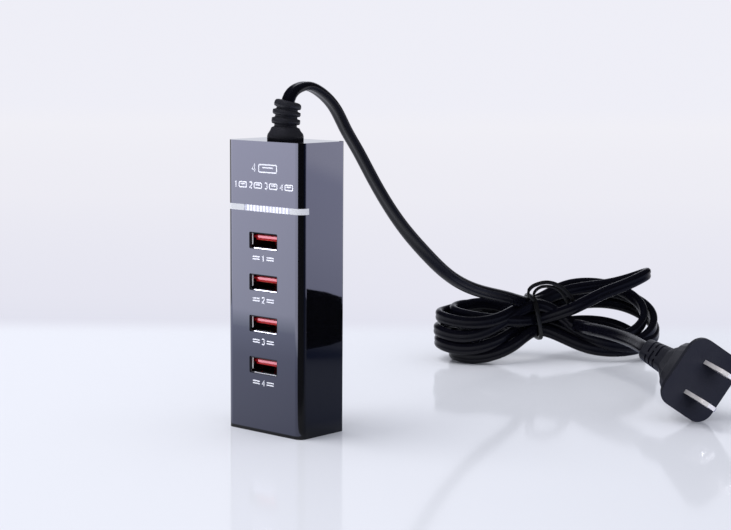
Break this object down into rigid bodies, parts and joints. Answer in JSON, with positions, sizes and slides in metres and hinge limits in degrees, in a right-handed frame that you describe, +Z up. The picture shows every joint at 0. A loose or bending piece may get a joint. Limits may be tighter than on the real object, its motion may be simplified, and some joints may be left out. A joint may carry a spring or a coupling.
{
  "type": "usb wall charger",
  "caption": "Upright glossy black desk charger with a column of USB-A outlets, a clear ribbed light strip, a ribbed cord gland, and a flat mains cord tied in a hank with a bladed mains plug.",
  "frame": {"origin": "middle of the housing's lower end, on the table", "axes": "+Z up along the housing, the outlets face -Y, +X to the right as seen from the outlets"},
  "size_m": [0.1743, 0.2379, 0.1222],
  "materials": {
    "gloss_black": "high gloss",
    "clear_strip": "clear, ribbed in the middle",
    "led": "clear over phosphor",
    "circuit_board": "solder mask",
    "sheet_steel": "bright plated",
    "red_plastic": "satin",
    "gold_plate": "gold plated",
    "ferrite": "matte ferrite",
    "pale_plastic": "matte",
    "yellow_tape": "tape",
    "copper_wire": "enamelled wire",
    "capacitor_sleeve": "shrink sleeve",
    "fuse_brown": "matte",
    "capacitor_yellow": "satin",
    "capacitor_blue": "satin",
    "chip_black": "matte",
    "wire_brown": "satin",
    "wire_blue": "satin",
    "cord_black": "satin",
    "tie_black": "satin",
    "plug_black": "satin",
    "blade_plate": "nickel plated"
  },
  "bodies": {
    "root": {"housing": "gloss_black", "back_cover": "gloss_black", "light_strip": "clear_strip", "strip_leds": "led", "led_board": "circuit_board", "main_board": "circuit_board", "usb_sleeve_1": "sheet_steel", "usb_sleeve_2": "sheet_steel", "usb_sleeve_3": "sheet_steel", "usb_sleeve_4": "sheet_steel", "usb_tongue_1": "red_plastic", "usb_tongue_2": "red_plastic", "usb_tongue_3": "red_plastic", "usb_tongue_4": "red_plastic", "usb_contacts_1": "gold_plate", "usb_contacts_2": "gold_plate", "usb_contacts_3": "gold_plate", "usb_contacts_4": "gold_plate", "transformer_core": "ferrite", "transformer_former": "pale_plastic", "transformer_winding": "yellow_tape", "mains_capacitor_1": "capacitor_sleeve", "mains_capacitor_2": "capacitor_sleeve", "output_capacitor_1": "capacitor_sleeve", "output_capacitor_2": "capacitor_sleeve", "output_capacitor_3": "capacitor_sleeve", "choke_core": "ferrite", "choke_winding": "copper_wire", "mains_fuse": "fuse_brown", "line_capacitor": "capacitor_yellow", "safety_capacitor": "capacitor_blue", "bridge_rectifier": "chip_black", "power_switch": "chip_black", "control_chip": "chip_black", "rectifier_chip": "chip_black", "charge_chip_1": "chip_black", "charge_chip_2": "chip_black", "optocoupler": "pale_plastic", "live_wire": "wire_brown", "neutral_wire": "wire_blue", "cord_gland": "cord_black", "cord_run": "cord_black", "cord_coil": "cord_black", "cord_tie": "tie_black", "plug_lead": "cord_black", "plug_body": "plug_black", "plug_blade_1": "blade_plate", "plug_blade_2": "blade_plate"}
  },
  "joints": []
}
